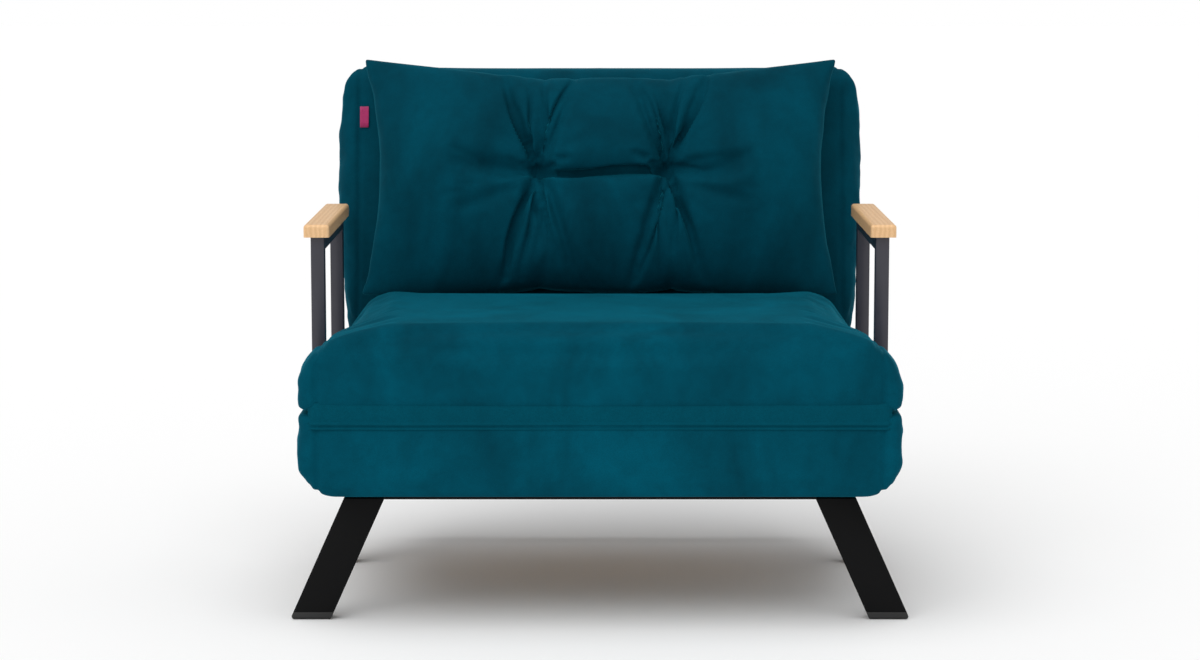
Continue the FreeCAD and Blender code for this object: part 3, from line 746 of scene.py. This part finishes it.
def make_pillow():
    """The loose pillow, drawn in at two tufts."""
    pillow = build_pillow_cover()
    shape_pillow(pillow)
    inflate(pillow, 3.2, PILLOW_FRAMES, 0.034,
            ((1.0, lambda p: min(math.hypot(p.x - x, p.y - y) for x, y in TUFTS) < TUFT_HELD),
             (0.5, lambda p: abs(p.x) > 0.96 * HALF_WIDTH and abs(p.y) > 0.94 * HALF_HEIGHT)),
            stretch=12.0, bend=0.6)
    size_pillow(pillow)
    refine(pillow)
    shift_skin(pillow, lambda p: -0.014 * sharp_crease(p) + 0.0014 * ruffle(p, (22, 14, 10), WRINKLE_SEED)
               if p.z > 0.012 else 0.0)
    settle_pillow(pillow)
    lay_on_back(pillow)
    # The pillow gets the darker copy of the velvet: painted shade
    dress(pillow, velvet_painted_shade, "loose_pillow", ["pillow"])
    return pillow


# The cloth strip at the fold, in millimetres above the floor and across
STRIP_FOOT = 312.0
STRIP_TOP = 352.0
STRIP_WIDTH = 884.0
WELT_HEIGHT = 320.5


def strip_relief(height):
    """How far the strip stands out at a height: a welt, the stitching below it and a rolled hem."""
    welt = 2.4 * math.exp(-((height - WELT_HEIGHT) / 1.6) ** 2)
    stitching = -0.8 * math.exp(-((height - WELT_HEIGHT + 4.0) / 1.3) ** 2)
    hem = 1.8 * fall_off(abs(height - STRIP_FOOT - 1.0), 3.4)
    tucked = -3.2 * max(0.0, (height - 344) / 8)
    return welt + stitching + hem + tucked


def make_fold_strip():
    """The cloth on which the seat section folds over, stitched to the layer below."""
    bm = bmesh.new()
    bmesh.ops.create_grid(bm, x_segments=130, y_segments=40, size=0.5)
    bmesh.ops.scale(bm, vec=(STRIP_WIDTH, STRIP_TOP - STRIP_FOOT, 1), verts=bm.verts)
    bmesh.ops.rotate(bm, matrix=Matrix.Rotation(math.radians(90), 3, "X"), verts=bm.verts)
    bmesh.ops.translate(bm, vec=(0, 0, (STRIP_TOP + STRIP_FOOT) / 2), verts=bm.verts)
    for vertex in bm.verts:
        sway = noise.noise(Vector((vertex.co.x * 0.012, 1.3, vertex.co.z * 0.03)))
        wrapped = max(0.0, abs(vertex.co.x) - 424) / 18
        vertex.co.y = -1.3 - strip_relief(vertex.co.z) + 0.35 * sway + 5 * wrapped * wrapped
        if vertex.co.z < 330:
            vertex.co.z += 0.5 * noise.noise(Vector((vertex.co.x * 0.008, 2.3, 0.1)))
    strip = new_piece("fold_strip", bm, to_chair)
    thick = strip.modifiers.new("thick", "SOLIDIFY")
    thick.thickness = 0.0014
    thick.offset = 0.0
    apply_modifiers(strip)
    dress(strip, strip_cloth, None, ["hinge_strip"])
    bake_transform(strip)


# The lining and the tag, in millimetres in the back's own place
LINING_SIZE = (804, 446)
LINING_MIDDLE = (0, 65.5, 320.5)
TAG_SIZE = (15, 1.6, 36)
TAG_MIDDLE = (-402.5, -60.5, 471)


def make_rear_lining():
    """The lining behind the back: drawn over the frame, with a turned hem round its edge."""
    bm = bmesh.new()
    bmesh.ops.create_grid(bm, x_segments=90, y_segments=50, size=0.5)
    bmesh.ops.scale(bm, vec=(*LINING_SIZE, 1), verts=bm.verts)
    bmesh.ops.rotate(bm, matrix=Matrix.Rotation(math.radians(-90), 3, "X"), verts=bm.verts)
    bmesh.ops.translate(bm, vec=LINING_MIDDLE, verts=bm.verts)
    half_width, half_height = [size / 2 for size in LINING_SIZE]
    for vertex in bm.verts:
        height = vertex.co.z - LINING_MIDDLE[2]
        x, z = vertex.co.x / half_width, height / half_height
        edge = max(0.0, 1 - max(abs(x), abs(z)) ** 8)
        sag = noise.noise(Vector((x * 2.2, 0, z * 1.7))) * 0.8 - 0.6
        hem = fall_off(abs(max(abs(vertex.co.x) - half_width, abs(height) - half_height) + 9), 3)
        vertex.co.y += edge * sag + hem * -0.7
    cloth = new_piece("rear_lining", bm, to_back)
    thick = cloth.modifiers.new("thick", "SOLIDIFY")
    thick.thickness = 0.0012
    thick.offset = 0.0
    apply_modifiers(cloth)
    dress(cloth, lining, "back", ["back_panel"])


def make_tag():
    """A blank folded tag caught in the side seam, its free edge standing a little proud."""
    bm = bmesh.new()
    bmesh.ops.create_cube(bm, size=1.0)
    bmesh.ops.scale(bm, vec=TAG_SIZE, verts=bm.verts)
    bmesh.ops.translate(bm, vec=TAG_MIDDLE, verts=bm.verts)
    round_edges(bm, lambda p: p.x > -396, 0.7, 3)
    bmesh.ops.subdivide_edges(bm, edges=bm.edges[:], cuts=3, use_grid_fill=True)
    for vertex in bm.verts:
        free = (vertex.co.x - TAG_MIDDLE[0]) / TAG_SIZE[0] + 0.5
        vertex.co.y -= 1.8 * free * free
    tag = new_piece("side_tag", bm, to_back)
    dress(tag, tag_cloth, "back", ["blank_tag"])


# The covered buttons, in millimetres
BUTTON_RADIUS = 7.5
BUTTON_SINK = 2.0
BUTTON_REACH = 9


def tuft_floor(places, x, up):
    """How deep the pillow's skin lies at a tuft, in the back's own place."""
    return max(p.y for p in places
               if abs(p.x - x) < BUTTON_REACH and abs(p.z - up) < BUTTON_REACH and p.y < -90)


def make_buttons(pillow):
    """Two buttons covered in the same velvet, sunk in the pillow's tufts."""
    to_own_place = to_back.inverted()
    places = [to_own_place @ v.co for v in pillow.data.vertices]
    bm = bmesh.new()
    for tuft in TUFTS:
        x = tuft[0] * 1000
        up = (PILLOW_MIDDLE + tuft[1]) * 1000
        dome = bmesh.ops.create_uvsphere(bm, u_segments=28, v_segments=16, radius=BUTTON_RADIUS)
        bmesh.ops.scale(bm, vec=(1, 0.55, 1), verts=dome["verts"])
        bmesh.ops.translate(bm, vec=(x, tuft_floor(places, x, up) - BUTTON_SINK, up), verts=dome["verts"])
    buttons = new_piece("covered_buttons", bm, to_back)
    # The buttons get the darker copy of the velvet: painted shade
    dress(buttons, velvet_painted_shade, "loose_pillow", ["pillow_buttons"])


# The hard nodes whose edges are eased, and by how much, in metres
EASED = ("arm_post", "arm_bar", "front_leg", "rear_leg", "side_rail", "cross_rail", "pull_cross_rail",
         "leg_arm", "outrigger", "fixed_slats", "pull_slats", "back_slats", "ratchet_bracket",
         "front_foot", "rear_foot")
body_of_node = {n: b for b, members in frame["record"]["behaviour"]["bodies"].items() for n in members}
SLAT_EASE = 0.0012
STEEL_EASE = 0.0009


def ease_edges(name, material, width):
    """A copy of a hard node whose edges are eased as rolled tube and planed wood are."""
    bm = bmesh.new()
    bm.from_mesh(nodes[name].data)
    bmesh.ops.remove_doubles(bm, verts=bm.verts, dist=0.00002)
    bmesh.ops.dissolve_limit(bm, angle_limit=math.radians(1), verts=bm.verts, edges=bm.edges)
    piece = new_piece("eased_" + name, bm)
    bevel = piece.modifiers.new("eased", "BEVEL")
    bevel.width = width
    bevel.segments = 3
    bevel.limit_method = "ANGLE"
    bevel.angle_limit = math.radians(40)
    bevel.harden_normals = False
    apply_modifiers(piece)
    dress(piece, material, body_of_node[name], [name])
    piece.data.set_sharp_from_angle(angle=math.radians(35))


# The finish of each CAD node apart from the cushions, by the longest of these names that starts
# the node's own
FINISHES = {
    "arm_bar": grey_steel,
    "arm_bolts": zinc,
    "arm_post": grey_steel,
    "armrest": beech,
    "armrest_screws": zinc,
    "back_panel": lining,
    "back_slats": slat_across,
    "back_tube": black_steel,
    "blank_tag": tag_cloth,
    "cross_rail": black_steel,
    "fixed_slats": slat_along,
    "front_foot": black_plastic,
    "front_leg": black_steel,
    "guide_bar": zinc,
    "guide_glides": black_plastic,
    "hinge_strip": strip_cloth,
    "leg_arm": black_steel,
    "leg_bolts": zinc,
    "outrigger": black_steel,
    "pillow_buttons": velvet,
    "pivot_pins": zinc,
    "pull_cross_rail": black_steel,
    "pull_slats": slat_along,
    "rail_bushes": black_plastic,
    "ratchet_arm": zinc,
    "ratchet_arm_bolts": zinc,
    "ratchet_bracket": black_steel,
    "rear_foot": black_plastic,
    "rear_leg": black_steel,
    "side_rail": black_steel,
}


def finish_hard_nodes():
    """Gives the remaining CAD nodes their finishes and eases the edges of tubes and slats."""
    for name, node in list(nodes.items()):
        fitting = max((key for key in FINISHES if name.startswith(key)), key=len, default=None)
        if fitting is None:
            continue
        node.data.materials.clear()
        node.data.materials.append(FINISHES[fitting])
        if name.startswith(EASED):
            ease_edges(name, FINISHES[fitting], SLAT_EASE if "slats" in name else STEEL_EASE)


# Stage: a pale floor, an even white surround and two soft lamps

# The camera, fitted to the photograph's viewing angle: metres and degrees
CAMERA_LENS = 89.7
CAMERA_AHEAD = 4.466
CAMERA_HEIGHT = 1.056
CAMERA_DOWN = 7.55


def make_floor():
    """A pale floor that reaches out of the picture."""
    bm = bmesh.new()
    bmesh.ops.create_grid(bm, x_segments=1, y_segments=1, size=30.0)
    floor = new_piece("floor", bm)
    material = bpy.data.materials.new("pale_floor")
    material.use_nodes = True
    shader = material.node_tree.nodes["Principled BSDF"]
    shader.inputs["Base Color"].default_value = (0.97, 0.97, 0.97, 1)
    shader.inputs["Roughness"].default_value = 0.95
    shader.inputs["Specular IOR Level"].default_value = 0.0
    floor.data.materials.append(material)


def make_world():
    """A surround that is seen as plain white and lights the object at half that strength."""
    world = bpy.data.worlds.new("studio")
    scene.world = world
    world.use_nodes = True
    tree = world.node_tree
    tree.nodes.clear()
    seen = add_node(tree, "ShaderNodeBackground", (0, 200), Color=(1, 1, 1, 1), Strength=1.0)
    lighting = add_node(tree, "ShaderNodeBackground", (0, 0), Color=(1, 1, 1, 1), Strength=0.52)
    paths = add_node(tree, "ShaderNodeLightPath", (-400, 300))
    either = add_node(tree, "ShaderNodeMath", (-200, 300), {"operation": "MAXIMUM"})
    mix = add_node(tree, "ShaderNodeMixShader", (250, 100))
    end = add_node(tree, "ShaderNodeOutputWorld", (450, 100))
    tree.links.new(paths.outputs["Is Camera Ray"], either.inputs[0])
    tree.links.new(paths.outputs["Is Transmission Ray"], either.inputs[1])
    tree.links.new(either.outputs[0], mix.inputs[0])
    tree.links.new(lighting.outputs[0], mix.inputs[1])
    tree.links.new(seen.outputs[0], mix.inputs[2])
    tree.links.new(mix.outputs[0], end.inputs[0])


def add_sun(name, come_from, spread, strength):
    """A soft distant lamp, so that the floor is lit evenly as far as it goes."""
    light = bpy.data.lights.new(name, "SUN")
    light.energy = strength
    light.angle = math.radians(spread)
    lamp = bpy.data.objects.new(name, light)
    lamp.location = Vector(come_from) * 3
    lamp.rotation_euler = (-Vector(come_from)).to_track_quat("-Z", "Y").to_euler()
    scene.collection.objects.link(lamp)


def make_camera():
    """The camera stands in front of the seat and looks down a little."""
    lens_data = bpy.data.cameras.new("camera")
    lens_data.lens = CAMERA_LENS
    lens_data.sensor_width = 36.0
    lens_data.clip_end = 200.0
    camera = bpy.data.objects.new("camera", lens_data)
    camera.location = (0.0, FRONT_FACE - CAMERA_AHEAD, CAMERA_HEIGHT)
    camera.rotation_euler = (math.radians(90 - CAMERA_DOWN), 0, 0)
    scene.collection.objects.link(camera)
    scene.camera = camera


# The pieces are made in this order

make_camera()
make_world()
make_floor()
add_sun("high_light", (-0.15, -0.35, 1.0), 70, 1.5)
add_sun("front_light", (-0.5, -1.0, 0.55), 50, 0.5)
make_seat_pad()
make_lower_pad()
make_back_pad()
pillow_pad = make_pillow()
make_fold_strip()
make_rear_lining()
make_tag()
make_buttons(pillow_pad)
finish_hard_nodes()

scene.view_settings.view_transform = "Standard"
